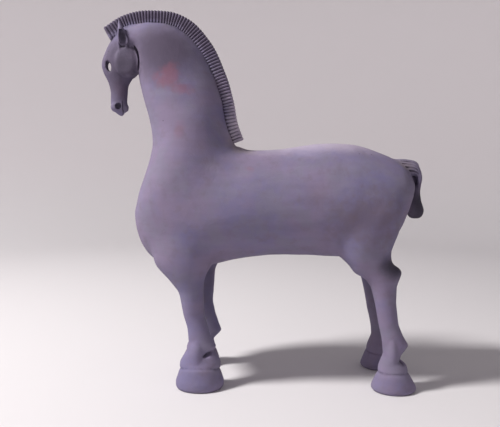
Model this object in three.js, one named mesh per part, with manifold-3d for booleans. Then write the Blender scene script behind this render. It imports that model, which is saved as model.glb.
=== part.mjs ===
// A standing horse statue, modelled and fired as one piece of clay.
// Millimetres, +Z up. The horse faces -X, its left side is -Y, and it stands on z = 0
// with the origin under the middle of its box.
//
// Every limb is skinned over stations. A station is a pair of points of the side outline,
// the half width across the horse there, and how far out from the middle plane it lies.
import * as THREE from "three";
import { mergeVertices } from "three/addons/utils/BufferGeometryUtils.js";
import Module from "manifold-3d";

const wasm = await Module();
wasm.setup();

// Colour of the matte slate-violet clay skin
const CLAY_COLOUR = 0x7f738e;
const CLAY_ROUGHNESS = 0.85;

// Stance: half the distance between the left and right legs, at the hooves and at the body
const HOOF_OUT = 40;
const KNEE_OUT = 38;
const SHOULDER_OUT = 33;
const HIP_OUT = 30;

// Facets: points round a section and rings between two stations
const TRUNK_SIDES = 26;
const LEG_SIDES = 14;
const HEAD_SIDES = 18;
const TAIL_SIDES = 16;
const EAR_SIDES = 8;
const PIT_SIDES = 10;
const EYE_SEGMENTS = 6;
const RINGS_PER_GAP = 2;
const LEG_RINGS_PER_GAP = 1;

// Trunk and neck, from the rump along the back, fanning round the withers and up the neck
const CREST_LEAN = 0.12;
const TRUNK = [
  { upper: [183.5, 240], lower: [183.5, 222], half: 12 }, // point of the rump
  { upper: [178, 254], lower: [180, 207], half: 29 },
  { upper: [164, 268], lower: [170, 190], half: 44 }, // tail root
  { upper: [142, 279], lower: [142, 163], half: 55 },
  { upper: [109, 289.4], lower: [100, 152], half: 60 }, // croup
  { upper: [64, 289.6], lower: [52, 154], half: 59 },
  { upper: [24, 284], lower: [7, 153.5], half: 58 }, // saddle
  { upper: [-5, 282.2], lower: [-36, 147.5], half: 60 },
  { upper: [-16, 282.8], lower: [-86, 137], half: 61 }, // withers and girth
  { upper: [-25.5, 285.8], lower: [-132, 146], half: 60 },
  { upper: [-33, 291.8], lower: [-150.5, 170], half: 58 },
  { upper: [-39, 304], lower: [-157, 206], half: 55 }, // point of the chest
  { upper: [-43.8, 320], lower: [-145, 248], half: 49 },
  { upper: [-46.4, 335], lower: [-134, 286], half: 43 }, // foot of the neck
  { upper: [-50.6, 353], lower: [-137, 314], half: 38 },
  { upper: [-62, 379], lower: [-145, 343], half: 33 },
  { upper: [-81, 408], lower: [-150, 366], half: 28 },
  { upper: [-103, 428], lower: [-152, 386], half: 23 },
  { upper: [-130, 436], lower: [-154, 402], half: 18 },
  { upper: [-154, 433], lower: [-160, 411], half: 13 }, // poll
  { upper: [-171, 430], lower: [-171, 415], half: 9 },
];

// Head, from the poll down to the lips: brow and nose outline, then jaw and chin outline
const HEAD = [
  { upper: [-172, 428], lower: [-156, 413], half: 9 },
  { upper: [-184, 416], lower: [-154, 402], half: 11 },
  { upper: [-194, 397], lower: [-151, 387], half: 10.5 },
  { upper: [-197, 385], lower: [-153, 376], half: 9.5 }, // brow
  { upper: [-194, 375], lower: [-159, 368], half: 8.5 },
  { upper: [-188.5, 364], lower: [-163.5, 361], half: 7.6 },
  { upper: [-186, 352], lower: [-165, 351], half: 7.2 },
  { upper: [-186.2, 341], lower: [-165.8, 341], half: 7.6 },
  { upper: [-185.2, 334.5], lower: [-165, 334], half: 7.8 }, // nostrils
  { upper: [-181, 329], lower: [-167.5, 329.5], half: 6.4 },
  { upper: [-176.5, 325], lower: [-171.5, 325.5], half: 3.2 }, // upper lip
];
const CHEEK = { x: -165, z: 387.6, radius: 17.6, half: 12.8 };
const EYE = { x: -186.6, z: 383.4, length: 14, width: 6.4, slant: 15 };
const NOSTRIL = { x: -177.4, z: 336.3, out: 7.4, radius: 2.6 };
const MOUTH = { x: -170.6, top: 342, bottom: 322, gape: 1.6 };
const SLIT_DEPTH = 50;

// Ear, a pointed cup that opens sideways
const EAR_OUT = 11;
const EAR_LEAN = 3;
const EAR = [
  { z: 402, front: -173, back: -161.5, half: 4.5 },
  { z: 410, front: -173.4, back: -160, half: 5.4 },
  { z: 418, front: -173.6, back: -160.8, half: 4.8 },
  { z: 427, front: -172.4, back: -165.2, half: 3.3 },
  { z: 435, front: -170.6, back: -169, half: 0.9 },
];
const EAR_WALL = 1.7;
const EAR_THINNEST = 1 / 3;

// Foreleg from the sole up: front edge, back edge and half width at each height
const FORELEG = [
  { z: 0, front: -99, back: -48, half: 21, out: HOOF_OUT }, // sole
  { z: 3, front: -102, back: -45.2, half: 23.5, out: HOOF_OUT },
  { z: 9, front: -102, back: -45, half: 23.5, out: HOOF_OUT },
  { z: 21.4, front: -97.6, back: -48.9, half: 20.4, out: HOOF_OUT }, // top of the hoof wall
  { z: 23.4, front: -95.2, back: -51.2, half: 18.6, out: HOOF_OUT }, // groove at the coronet
  { z: 25.4, front: -97.8, back: -48.4, half: 20.1, out: HOOF_OUT },
  { z: 32, front: -96.6, back: -48.6, half: 19, out: HOOF_OUT }, // skirt of the pastern
  { z: 40, front: -92, back: -54.5, half: 15.5, out: HOOF_OUT },
  { z: 45, front: -87.5, back: -57, half: 13, out: HOOF_OUT },
  { z: 50, front: -86.3, back: -54.2, half: 12.2, out: HOOF_OUT }, // spur of the fetlock
  { z: 57, front: -86.8, back: -58, half: 11.8, out: HOOF_OUT },
  { z: 72, front: -88, back: -63, half: 11.5, out: 39 },
  { z: 86, front: -93, back: -66.8, half: 12.6, out: KNEE_OUT },
  { z: 98, front: -94.8, back: -68, half: 13.8, out: KNEE_OUT }, // knee
  { z: 114, front: -98, back: -68.4, half: 15.5, out: 37 },
  { z: 129, front: -111, back: -67.5, half: 19.5, out: 36 },
  { z: 146, front: -129, back: -58, half: 24, out: 35 }, // forearm
  { z: 175, front: -131, back: -48, half: 26, out: SHOULDER_OUT },
  { z: 215, front: -122, back: -52, half: 20, out: 28 }, // inside the shoulder
];

// The right forefoot is rounder and set a little forward, and the calf over it is fuller
const RIGHT_FOREFOOT = [
  { z: 0, front: -104.5, back: -60.5, half: 20.5, out: HOOF_OUT }, // sole
  { z: 3, front: -107.5, back: -57.5, half: 22.8, out: HOOF_OUT },
  { z: 9, front: -107, back: -58, half: 22.8, out: HOOF_OUT },
  { z: 17, front: -102, back: -61.5, half: 20, out: HOOF_OUT }, // top of the hoof wall
  { z: 18.8, front: -99.8, back: -64, half: 18, out: HOOF_OUT }, // groove at the coronet
  { z: 20.6, front: -101, back: -63, half: 19.2, out: HOOF_OUT },
  { z: 27, front: -99.6, back: -64.2, half: 18, out: HOOF_OUT }, // skirt of the pastern
  { z: 34, front: -94.5, back: -66, half: 14.6, out: HOOF_OUT },
  { z: 39.5, front: -90, back: -59.5, half: 12.8, out: HOOF_OUT },
  { z: 46, front: -88, back: -55, half: 12.2, out: HOOF_OUT }, // spur of the fetlock
  { z: 55, front: -87, back: -58, half: 11.8, out: HOOF_OUT },
];
const FETLOCK_TOP = 60;
const RIGHT_CALF = 5.4;
const CALF_FROM = 72;
const CALF_FULL = 114;

// Hind leg, in the same way as the foreleg
const HINDLEG = [
  { z: 0, front: 132, back: 178, half: 19.5, out: HOOF_OUT }, // sole
  { z: 3, front: 129, back: 181.5, half: 22, out: HOOF_OUT },
  { z: 8, front: 130.5, back: 180, half: 21.8, out: HOOF_OUT },
  { z: 20.2, front: 135.7, back: 172.6, half: 18.8, out: HOOF_OUT }, // top of the hoof wall
  { z: 22.2, front: 138.1, back: 170.1, half: 17.1, out: HOOF_OUT }, // groove at the coronet
  { z: 24.2, front: 136.4, back: 171.6, half: 18.4, out: HOOF_OUT },
  { z: 30, front: 137.6, back: 168.4, half: 17.2, out: HOOF_OUT },
  { z: 36, front: 140.4, back: 163.4, half: 14.8, out: HOOF_OUT }, // hollow of the pastern
  { z: 43, front: 142.8, back: 164, half: 13, out: HOOF_OUT },
  { z: 54, front: 141.6, back: 170.8, half: 12.2, out: HOOF_OUT }, // spur of the fetlock
  { z: 63, front: 140, back: 165.6, half: 11.8, out: HOOF_OUT },
  { z: 78, front: 136.6, back: 160.2, half: 11.4, out: 39.5 },
  { z: 105, front: 131.5, back: 157, half: 11.8, out: 39 },
  { z: 123, front: 126, back: 157.4, half: 13.2, out: 38.5 },
  { z: 137, front: 114, back: 163, half: 15.2, out: 38 }, // point of the hock
  { z: 144, front: 106, back: 159, half: 16.8, out: 37.5 },
  { z: 152, front: 94.5, back: 149.4, half: 19.4, out: 36.5 },
  { z: 164, front: 84, back: 149.2, half: 23, out: 35 }, // gaskin
  { z: 185, front: 82, back: 160, half: 27.5, out: 32 },
  { z: 212, front: 88, back: 172, half: 29, out: HIP_OUT }, // thigh
  { z: 245, front: 108, back: 166, half: 20, out: 27 }, // inside the haunch
];

// Tail, from the rump over the bend to the clubbed end: outer outline, then inner outline
const TAIL = [
  { upper: [152, 269], lower: [154, 250], half: 9 },
  { upper: [172, 269.6], lower: [173, 250.8], half: 9.4 }, // combed root
  { upper: [186, 266.8], lower: [181.5, 250.8], half: 9 },
  { upper: [192.2, 256], lower: [186, 250], half: 8.4 }, // bend
  { upper: [193.4, 246], lower: [186.8, 245], half: 7.4 },
  { upper: [191.6, 234], lower: [184.6, 234], half: 5.8 }, // binding
  { upper: [193, 221], lower: [183, 221], half: 6.4 },
  { upper: [196.6, 209.5], lower: [180.2, 208], half: 8 }, // club
  { upper: [194.2, 201.8], lower: [182.6, 201.4], half: 6.2 },
  { upper: [190.6, 199], lower: [186, 199], half: 2.6 },
];
const TAIL_FLUTES = 8;
const TAIL_FLUTE_DEPTH = 0.075;
const TAIL_FLUTES_FADE = [0.3, 0.5];

// Mane, an upright band scored across into ridges, from the forelock down to the withers
const MANE_CREST = [
  [-193, 430.5],
  [-166, 445.5],
  [-130, 450],
  [-95, 442],
  [-67, 415.5],
  [-47, 376],
  [-36, 340],
  [-30.4, 314],
  [-23, 295],
];
const MANE_RIDGES = 70;
const MANE_HALF = 7.2;
const MANE_DEPTH = 16;
const MANE_END_DEPTH = 9.6;
const MANE_NARROWS_FROM = 0.75;
const MANE_GROOVE = 1.2;
const MANE_SHOULDER = 0.3;
const MANE_FLAT = 0.5;

// Turns a closed geometry into a solid with its faces pointing out
function solidOf(geometry) {
  const bare = geometry.clone();
  bare.deleteAttribute("normal");
  bare.deleteAttribute("uv");
  const merged = mergeVertices(bare, 1e-4);
  const vertProperties = new Float32Array(merged.attributes.position.array);
  const triVerts = new Uint32Array(merged.index.array);
  const solid = new wasm.Manifold(new wasm.Mesh({ numProp: 3, vertProperties, triVerts }));
  if (solid.volume() > 0) return solid;
  const turned = triVerts.slice().reverse();
  return new wasm.Manifold(new wasm.Mesh({ numProp: 3, vertProperties, triVerts: turned }));
}

// Skins a row of rings, each with as many points, and closes both ends
function skin(rings) {
  const sides = rings[0].length;
  const points = rings.flat();
  const total = (ring) => ring.reduce((sum, p) => sum.add(p), new THREE.Vector3());
  const middle = (ring) => total(ring).divideScalar(sides);
  const triangles = [];
  for (let i = 0; i + 1 < rings.length; i++) {
    for (let j = 0; j < sides; j++) {
      const a = i * sides + j;
      const b = i * sides + ((j + 1) % sides);
      triangles.push(a, b, a + sides, b, b + sides, a + sides);
    }
  }
  const last = (rings.length - 1) * sides;
  const first = points.push(middle(rings[0])) - 1;
  const end = points.push(middle(rings.at(-1))) - 1;
  for (let j = 0; j < sides; j++) {
    const next = (j + 1) % sides;
    triangles.push(first, next, j, end, last + j, last + next);
  }
  const geometry = new THREE.BufferGeometry().setFromPoints(points);
  geometry.setIndex(triangles);
  return solidOf(geometry);
}

// Skins a limb over its stations; swell scales the section at a share of the length and an angle
function limb(stations, sides, { lean = 0, ringsPerGap = RINGS_PER_GAP, swell = () => 1 } = {}) {
  const place = ([x, z], out = 0) => new THREE.Vector3(x, out, z);
  const upper = new THREE.CatmullRomCurve3(stations.map((s) => place(s.upper, s.out)));
  const lower = new THREE.CatmullRomCurve3(stations.map((s) => place(s.lower, s.out)));
  const half = new THREE.CatmullRomCurve3(stations.map((s) => new THREE.Vector3(s.half, 0, 0)));
  const across = new THREE.Vector3(0, 1, 0);
  const count = (stations.length - 1) * ringsPerGap;
  const rings = [];
  for (let i = 0; i <= count; i++) {
    const share = i / count;
    const top = upper.getPoint(share);
    const foot = lower.getPoint(share);
    const middle = top.clone().add(foot).multiplyScalar(0.5);
    const rise = top.clone().sub(middle);
    const width = half.getPoint(share).x;
    const ring = [];
    for (let j = 0; j < sides; j++) {
      const angle = (2 * Math.PI * j) / sides;
      const size = swell(share, angle);
      const side = width * Math.sin(angle) * (1 - lean * Math.cos(angle));
      const point = middle.clone();
      point.addScaledVector(rise, size * Math.cos(angle));
      point.addScaledVector(across, size * side);
      ring.push(point);
    }
    rings.push(ring);
  }
  return skin(rings);
}

// A leg's rows of heights and edges as stations, on the left (-1) or right (1) side
function leg(rows, side) {
  const stations = rows.map(({ z, front, back, half, out }) => ({
    upper: [front, z],
    lower: [back, z],
    half,
    out: side * out,
  }));
  return limb(stations, LEG_SIDES, { ringsPerGap: LEG_RINGS_PER_GAP });
}

// The right foreleg's rows: its own foot under the left one's shank, with the fuller calf
function rightForeleg() {
  const shank = FORELEG.filter((row) => row.z > FETLOCK_TOP).map((row) => ({
    ...row,
    back: row.back + RIGHT_CALF * THREE.MathUtils.smoothstep(row.z, CALF_FROM, CALF_FULL),
  }));
  return [...RIGHT_FOREFOOT, ...shank];
}

// The ear's outer form less a smaller one pushed outwards, which leaves the cup
function ear(side) {
  const rise = EAR.at(-1).z - EAR[0].z;
  const stations = (inset, shift) =>
    EAR.map(({ z, front, back, half }) => ({
      upper: [front + Math.min(inset, (back - front) * EAR_THINNEST), z],
      lower: [back - Math.min(inset, (back - front) * EAR_THINNEST), z],
      half: Math.max(half - inset / 2, half * EAR_THINNEST),
      out: side * (EAR_OUT + shift + (EAR_LEAN * (z - EAR[0].z)) / rise),
    }));
  const outer = limb(stations(0, 0), EAR_SIDES);
  const hollow = limb(stations(EAR_WALL, EAR_WALL * 2), EAR_SIDES);
  return { outer, hollow };
}

// The band of the mane: a crest ring and a groove ring in turn along the crest line
function mane() {
  const crest = new THREE.CatmullRomCurve3(MANE_CREST.map(([x, z]) => new THREE.Vector3(x, 0, z)));
  const rings = [];
  const count = MANE_RIDGES * 2;
  for (let i = 0; i <= count; i++) {
    const share = i / count;
    const point = crest.getPointAt(share);
    const along = crest.getTangentAt(share);
    const outwards = new THREE.Vector3(-along.z, 0, along.x);
    const cut = i % 2 ? 0 : MANE_GROOVE;
    const half = MANE_HALF - cut;
    const narrowing = THREE.MathUtils.smoothstep(share, MANE_NARROWS_FROM, 1);
    const depth = THREE.MathUtils.lerp(MANE_DEPTH, MANE_END_DEPTH, narrowing);
    const section = [
      [-half, -depth],
      [-half, -MANE_SHOULDER * depth],
      [-MANE_FLAT * half, -cut / 2],
      [MANE_FLAT * half, -cut / 2],
      [half, -MANE_SHOULDER * depth],
      [half, -depth],
    ];
    rings.push(
      section.map(([side, up]) => {
        const p = point.clone().addScaledVector(outwards, up);
        p.y = side;
        return p;
      }),
    );
  }
  return skin(rings);
}

// The tail's combed flutes run out of the rump and fade at the bend
function tail() {
  const swell = (share, angle) => {
    const fade = 1 - THREE.MathUtils.smoothstep(share, ...TAIL_FLUTES_FADE);
    return 1 - TAIL_FLUTE_DEPTH * fade * (0.5 + 0.5 * Math.cos(TAIL_FLUTES * angle));
  };
  return limb(TAIL, TAIL_SIDES, { swell });
}

// A flattened ball on each side of the head for the round jaw
function cheek() {
  const ball = new THREE.SphereGeometry(CHEEK.radius, HEAD_SIDES, HEAD_SIDES / 2);
  ball.rotateX(Math.PI / 2);
  ball.scale(1, CHEEK.half / CHEEK.radius, 1);
  ball.translate(CHEEK.x, 0, CHEEK.z);
  return solidOf(ball);
}

// The almond slit of the eyes, cut right through the head
function eyeSlit() {
  const tip = EYE.length / 2;
  const bulge = EYE.width;
  const almond = new THREE.Shape();
  almond.moveTo(0, tip);
  almond.quadraticCurveTo(bulge, 0, 0, -tip);
  almond.quadraticCurveTo(-bulge, 0, 0, tip);
  const slit = new THREE.ExtrudeGeometry(almond, {
    depth: SLIT_DEPTH,
    bevelEnabled: false,
    curveSegments: EYE_SEGMENTS,
  });
  slit.translate(0, 0, -SLIT_DEPTH / 2);
  slit.rotateZ(THREE.MathUtils.degToRad(EYE.slant));
  slit.rotateX(Math.PI / 2);
  slit.translate(EYE.x, 0, EYE.z);
  return solidOf(slit);
}

// A round pit in the side of the muzzle
function nostril(side) {
  const pit = new THREE.SphereGeometry(NOSTRIL.radius, PIT_SIDES, PIT_SIDES / 2);
  pit.translate(NOSTRIL.x, side * NOSTRIL.out, NOSTRIL.z);
  return solidOf(pit);
}

// The mouth, a wedge that opens downwards between the lips
function mouthSlit() {
  const wedge = new THREE.Shape();
  wedge.moveTo(MOUTH.x - MOUTH.gape / 2, MOUTH.bottom);
  wedge.lineTo(MOUTH.x + MOUTH.gape / 2, MOUTH.bottom);
  wedge.lineTo(MOUTH.x, MOUTH.top);
  const slit = new THREE.ExtrudeGeometry(wedge, { depth: SLIT_DEPTH, bevelEnabled: false });
  slit.translate(0, 0, -SLIT_DEPTH / 2);
  slit.rotateX(Math.PI / 2);
  return solidOf(slit);
}

// All the forms joined, then the eyes, mouth, nostrils and ear cups cut out
function horse() {
  const sides = [-1, 1];
  const ears = sides.map(ear);
  const forms = [
    limb(HEAD, HEAD_SIDES),
    cheek(),
    mane(),
    tail(),
    leg(FORELEG, -1),
    leg(rightForeleg(), 1),
    ...sides.map((side) => leg(HINDLEG, side)),
    ...ears.map((e) => e.outer),
  ];
  const cuts = [eyeSlit(), mouthSlit(), ...sides.map(nostril), ...ears.map((e) => e.hollow)];
  const trunk = limb(TRUNK, TRUNK_SIDES, { lean: CREST_LEAN });
  const joined = forms.reduce((sum, form) => sum.add(form), trunk);
  return cuts.reduce((sum, cut) => sum.subtract(cut), joined);
}

// A solid's faces as a geometry that three.js draws
function geometryOf(solid) {
  const { vertProperties, triVerts } = solid.getMesh();
  const geometry = new THREE.BufferGeometry();
  geometry.setAttribute("position", new THREE.BufferAttribute(vertProperties, 3));
  geometry.setIndex(new THREE.BufferAttribute(triVerts, 1));
  geometry.computeVertexNormals();
  return geometry;
}

const clay = new THREE.MeshStandardMaterial({
  color: CLAY_COLOUR,
  roughness: CLAY_ROUGHNESS,
  metalness: 0,
});
const statue = new THREE.Mesh(geometryOf(horse()), clay);
statue.name = "horse";

const part = new THREE.Group();
part.add(statue);

export default part;
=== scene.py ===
# %% [markdown]
# # A clay horse statue
# This lesson dresses one solid: a horse modelled in clay and fired as a single piece. The solid comes in as a
# fixed frame, faceted and plain. We make one new mesh that stands for it, with soft clay forms, a scored mane,
# combed tail, pierced eyes and a matte slate-violet skin. Everything is in metres, in the frame's own axes:
# the horse faces -X, its left side is -Y, and it stands on z = 0.

# %% Load the frame
import math

import bpy
import numpy as np
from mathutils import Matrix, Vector


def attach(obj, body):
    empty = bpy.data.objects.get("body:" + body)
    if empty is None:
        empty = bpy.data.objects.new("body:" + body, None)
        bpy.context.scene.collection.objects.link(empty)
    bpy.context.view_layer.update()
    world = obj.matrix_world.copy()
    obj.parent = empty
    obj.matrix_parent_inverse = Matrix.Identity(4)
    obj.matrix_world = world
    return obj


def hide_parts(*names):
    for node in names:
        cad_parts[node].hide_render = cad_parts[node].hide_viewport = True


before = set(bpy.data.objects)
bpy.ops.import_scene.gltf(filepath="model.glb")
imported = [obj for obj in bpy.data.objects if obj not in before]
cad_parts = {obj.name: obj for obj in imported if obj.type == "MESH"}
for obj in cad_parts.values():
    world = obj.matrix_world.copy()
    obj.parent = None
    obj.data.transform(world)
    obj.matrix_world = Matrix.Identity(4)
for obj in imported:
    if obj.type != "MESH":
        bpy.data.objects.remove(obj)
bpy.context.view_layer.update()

MM = 0.001

# %% [markdown]
# ## Small helpers
# An operator acts on whatever is selected, and the frame arrives selected. So every step first makes its own
# object the only selected one. Points and faces are picked in code, by their place, before edit-mode operators
# work on them.


# %% Helpers for selecting, editing and applying modifiers
def alone(obj):
    """Makes obj the only selected object, and the active one, in object mode."""
    if bpy.context.mode != "OBJECT":
        bpy.ops.object.mode_set(mode="OBJECT")
    bpy.ops.object.select_all(action="DESELECT")
    obj.select_set(True)
    bpy.context.view_layer.objects.active = obj
    return obj


def fresh(name):
    """Names the primitive that was just added, and gives it back."""
    obj = bpy.context.object
    obj.name = name
    obj.data.name = name
    return obj


def edit(obj, kind="VERT"):
    """Opens obj in edit mode with nothing selected."""
    alone(obj)
    bpy.ops.object.mode_set(mode="EDIT")
    bpy.ops.mesh.select_mode(type=kind)
    bpy.ops.mesh.select_all(action="DESELECT")


def pick_points(obj, test):
    """Opens obj in edit mode with the points that pass the test selected."""
    edit(obj, "VERT")
    bpy.ops.object.mode_set(mode="OBJECT")
    for point in obj.data.vertices:
        point.select = bool(test(point.co))
    bpy.ops.object.mode_set(mode="EDIT")


def pick_edges(obj, test):
    """Opens obj in edit mode with the edges selected whose two ends pass the test."""
    edit(obj, "EDGE")
    bpy.ops.object.mode_set(mode="OBJECT")
    points = obj.data.vertices
    for line in obj.data.edges:
        line.select = bool(test(points[line.vertices[0]].co, points[line.vertices[1]].co))
    bpy.ops.object.mode_set(mode="EDIT")


def pick_faces(obj, test):
    """Opens obj in edit mode with the faces selected whose middle and normal pass the test."""
    edit(obj, "FACE")
    bpy.ops.object.mode_set(mode="OBJECT")
    for face in obj.data.polygons:
        face.select = bool(test(face.center, face.normal))
    bpy.ops.object.mode_set(mode="EDIT")


def face_outwards(obj):
    """Merges doubled points and turns all faces of a closed shape outwards."""
    edit(obj)
    bpy.ops.mesh.select_all(action="SELECT")
    bpy.ops.mesh.remove_doubles(threshold=0.01 * MM)
    bpy.ops.mesh.normals_make_consistent(inside=False)
    bpy.ops.object.mode_set(mode="OBJECT")


def settle(obj):
    """Moves an object's place, turn and size into its mesh."""
    alone(obj)
    bpy.ops.object.transform_apply(location=True, rotation=True, scale=True)


def modify(obj, kind, **settings):
    """Adds one modifier, sets it and applies it."""
    alone(obj)
    bpy.ops.object.modifier_add(type=kind)
    modifier = obj.modifiers[-1]
    for key, value in settings.items():
        setattr(modifier, key, value)
    bpy.ops.object.modifier_apply(modifier=modifier.name)


def combine(obj, tool, operation):
    """Joins tool to obj, or cuts it away, and deletes the tool."""
    modify(obj, "BOOLEAN", object=tool, operation=operation, solver="MANIFOLD")
    mesh = tool.data
    bpy.data.objects.remove(tool)
    bpy.data.meshes.remove(mesh)


def triangles(obj):
    """How many triangles a mesh comes to."""
    return sum(len(face.vertices) - 2 for face in obj.data.polygons)


# %% [markdown]
# ## The camera
# The photograph was taken from a little above the middle of the horse, close by, with a fairly wide lens. Its
# lens is given by the focal length in pixels of the 500-pixel frame, and a slight turn to the left brings the
# head in.

# %% Camera
PHOTO_WIDTH = 500
FOCAL_PIXELS = 560
CAMERA_PLACE = Vector((12.4, -688.4, 258.0)) * MM
CAMERA_DIP = 4.44
CAMERA_YAW = 2.3
bpy.ops.object.camera_add(
    location=CAMERA_PLACE,
    rotation=(math.radians(90 - CAMERA_DIP), 0, math.radians(CAMERA_YAW)),
)
camera = bpy.context.object
camera.data.lens = camera.data.sensor_width * FOCAL_PIXELS / PHOTO_WIDTH
camera.data.clip_start = 10 * MM
bpy.context.scene.camera = camera
print("lens, mm:", round(camera.data.lens, 2))

# %% [markdown]
# ## The floor
# A plain pale studio floor: a disc whose rim is extruded outwards and up in small steps, so that it sweeps into
# a wall with no line behind the horse, from any side.

# %% Floor
FLOOR_RADIUS = 1.3
SWEEP_RADIUS = 0.9
SWEEP_STEPS = 12
WALL_HEIGHT = 1.6


def sweep_ring(step):
    """Radius and height of a ring of the sweep."""
    angle = math.pi / 2 * step / SWEEP_STEPS
    return FLOOR_RADIUS + SWEEP_RADIUS * math.sin(angle), SWEEP_RADIUS * (1 - math.cos(angle))


alone(camera)
bpy.ops.mesh.primitive_circle_add(vertices=96, radius=FLOOR_RADIUS, fill_type="NGON")
floor = fresh("studio_floor")
pick_edges(floor, lambda a, b: True)
for step in range(1, SWEEP_STEPS + 1):
    last_radius, last_height = sweep_ring(step - 1)
    radius, height = sweep_ring(step)
    bpy.ops.mesh.extrude_edges_move(TRANSFORM_OT_translate={"value": (0, 0, height - last_height)})
    grow = radius / last_radius
    bpy.ops.transform.resize(value=(grow, grow, 1), center_override=(0, 0, height))
bpy.ops.mesh.extrude_edges_move(TRANSFORM_OT_translate={"value": (0, 0, WALL_HEIGHT)})
bpy.ops.object.mode_set(mode="OBJECT")
bpy.ops.object.shade_smooth()
print("floor sweeps up to", round(max(v.co.z for v in floor.data.vertices), 2), "m")

# %% [markdown]
# ## The body, from the frame
# The trunk, neck, head and legs keep the solid's form, so we start from a copy of the node, with its doubled
# points merged. Some details are too fine for the solid's facets and are made new, above all the feet and the
# mane. Their plain versions are cut off first: the feet with a bisect, the mane with a boolean cutter.

# %% Copy the solid and cut off the feet
FOOT_CUT = 62 * MM
horse = bpy.data.objects.new("horse_clay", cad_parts["horse"].data.copy())
bpy.context.scene.collection.objects.link(horse)
horse.data.materials.clear()
face_outwards(horse)
edit(horse)
bpy.ops.mesh.select_all(action="SELECT")
bpy.ops.mesh.bisect(plane_co=(0, 0, FOOT_CUT), plane_no=(0, 0, 1), clear_inner=True, use_fill=True)
bpy.ops.object.mode_set(mode="OBJECT")
print("body starts at z =", round(min(v.co.z for v in horse.data.vertices) / MM, 1), "mm")

# %% [markdown]
# ## The crest line
# The mane stands along one curve, from the forelock over the arched neck to the withers. Both the cutter that
# takes the plain mane away and the new ridges are bent along it with a Curve modifier. The modifier maps X to
# the distance along the curve and Z to the direction out of the neck.

# %% Crest curve
CREST = [
    (-193, 430.5),
    (-166, 445.5),
    (-130, 450),
    (-94.4, 442.6),
    (-65.6, 416.4),
    (-45.2, 376.8),
    (-34.3, 340.6),
    (-29.4, 314.4),
    (-22.4, 295.2),
]
bpy.ops.curve.primitive_bezier_curve_add()
crest = fresh("crest_line")
settle(crest)
crest.data.dimensions = "3D"
crest.data.twist_mode = "Z_UP"
crest.data.resolution_u = 32
crest_spline = crest.data.splines[0]
crest_spline.bezier_points.add(len(CREST) - len(crest_spline.bezier_points))
for point, (x, z) in zip(crest_spline.bezier_points, CREST):
    point.co = Vector((x, 0, z)) * MM
    point.handle_left_type = "AUTO"
    point.handle_right_type = "AUTO"
bpy.context.view_layer.update()
crest_length = crest_spline.calc_length(resolution=64)
print("crest length, mm:", round(crest_length / MM, 1))

# %% Cut off the plain mane
MANE_CUT_DEPTH = 14 * MM
MANE_CUT_RISE = 6 * MM
MANE_CUT_HALF = 9 * MM
MANE_CUT_OVERRUN = 5 * MM
MANE_CUT_STEPS = 79
alone(crest)
bpy.ops.mesh.primitive_cube_add(size=1)
mane_cutter = fresh("mane_cutter")
mane_cutter.scale = (crest_length + 2 * MANE_CUT_OVERRUN, 2 * MANE_CUT_HALF, MANE_CUT_DEPTH + MANE_CUT_RISE)
mane_cutter.location = (crest_length / 2, 0, (MANE_CUT_RISE - MANE_CUT_DEPTH) / 2)
settle(mane_cutter)
pick_edges(mane_cutter, lambda a, b: abs(a.x - b.x) > crest_length / 2)
bpy.ops.mesh.subdivide(number_cuts=MANE_CUT_STEPS)
modify(mane_cutter, "CURVE", object=crest, deform_axis="POS_X")
face_outwards(mane_cutter)
combine(horse, mane_cutter, "DIFFERENCE")
print("top of the neck without mane, mm:", round(max(v.co.z for v in horse.data.vertices) / MM, 1))

# %% [markdown]
# ## The feet
# Each foot has a bell-shaped hoof, a groove at the coronet, a skirt of hair on the pastern with the bone standing
# out of it, and a small spur behind the fetlock. The core is a filled circle extruded upwards ring by ring. Each
# ring is moved and resized to its front edge, back edge and half width, and the rings at the coronet are tilted
# so that the groove runs higher on the outside. The bone is a sphere stretched to size, and a flat sphere, cut
# away, leaves the crease between the spur and the skirt.


# %% Tools for stacks of rings and stretched spheres
def stack(name, rows, sides, side):
    """A closed stack of rings. Rows, in mm: height, front edge, back edge, half width, middle, rise outside."""
    alone(horse)
    bpy.ops.mesh.primitive_circle_add(vertices=sides, radius=1, fill_type="NGON", location=(0, 0, 0))
    piece = fresh(name)
    pick_faces(piece, lambda middle, normal: True)
    place, size, tilt = Vector((0, 0, 0)), (1, 1), 0
    for count, (z, front, back, half, out, rise) in enumerate(rows):
        target = Vector(((front + back) / 2, side * out, z)) * MM
        target_size = (abs(back - front) / 2 * MM, half * MM)
        target_tilt = side * math.asin(rise / half)
        if count:
            bpy.ops.mesh.extrude_region_move()
            bpy.ops.transform.rotate(value=tilt, orient_axis="X", center_override=place)
        bpy.ops.transform.translate(value=target - place)
        grow = (target_size[0] / size[0], target_size[1] / size[1], 1)
        bpy.ops.transform.resize(value=grow, center_override=target)
        bpy.ops.transform.rotate(value=-target_tilt, orient_axis="X", center_override=target)
        place, size, tilt = target, target_size, target_tilt
    face_outwards(piece)
    return piece


def lump(name, place, radii, segments=40, slope=0):
    """A sphere stretched to three radii, in mm, with its back end raised by a slope in degrees."""
    alone(horse)
    bpy.ops.mesh.primitive_uv_sphere_add(
        segments=segments,
        ring_count=segments // 2,
        radius=1,
        location=Vector(place) * MM,
    )
    piece = fresh(name)
    piece.scale = Vector(radii) * MM
    piece.rotation_euler = (0, math.radians(-slope), 0)
    settle(piece)
    return piece


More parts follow.
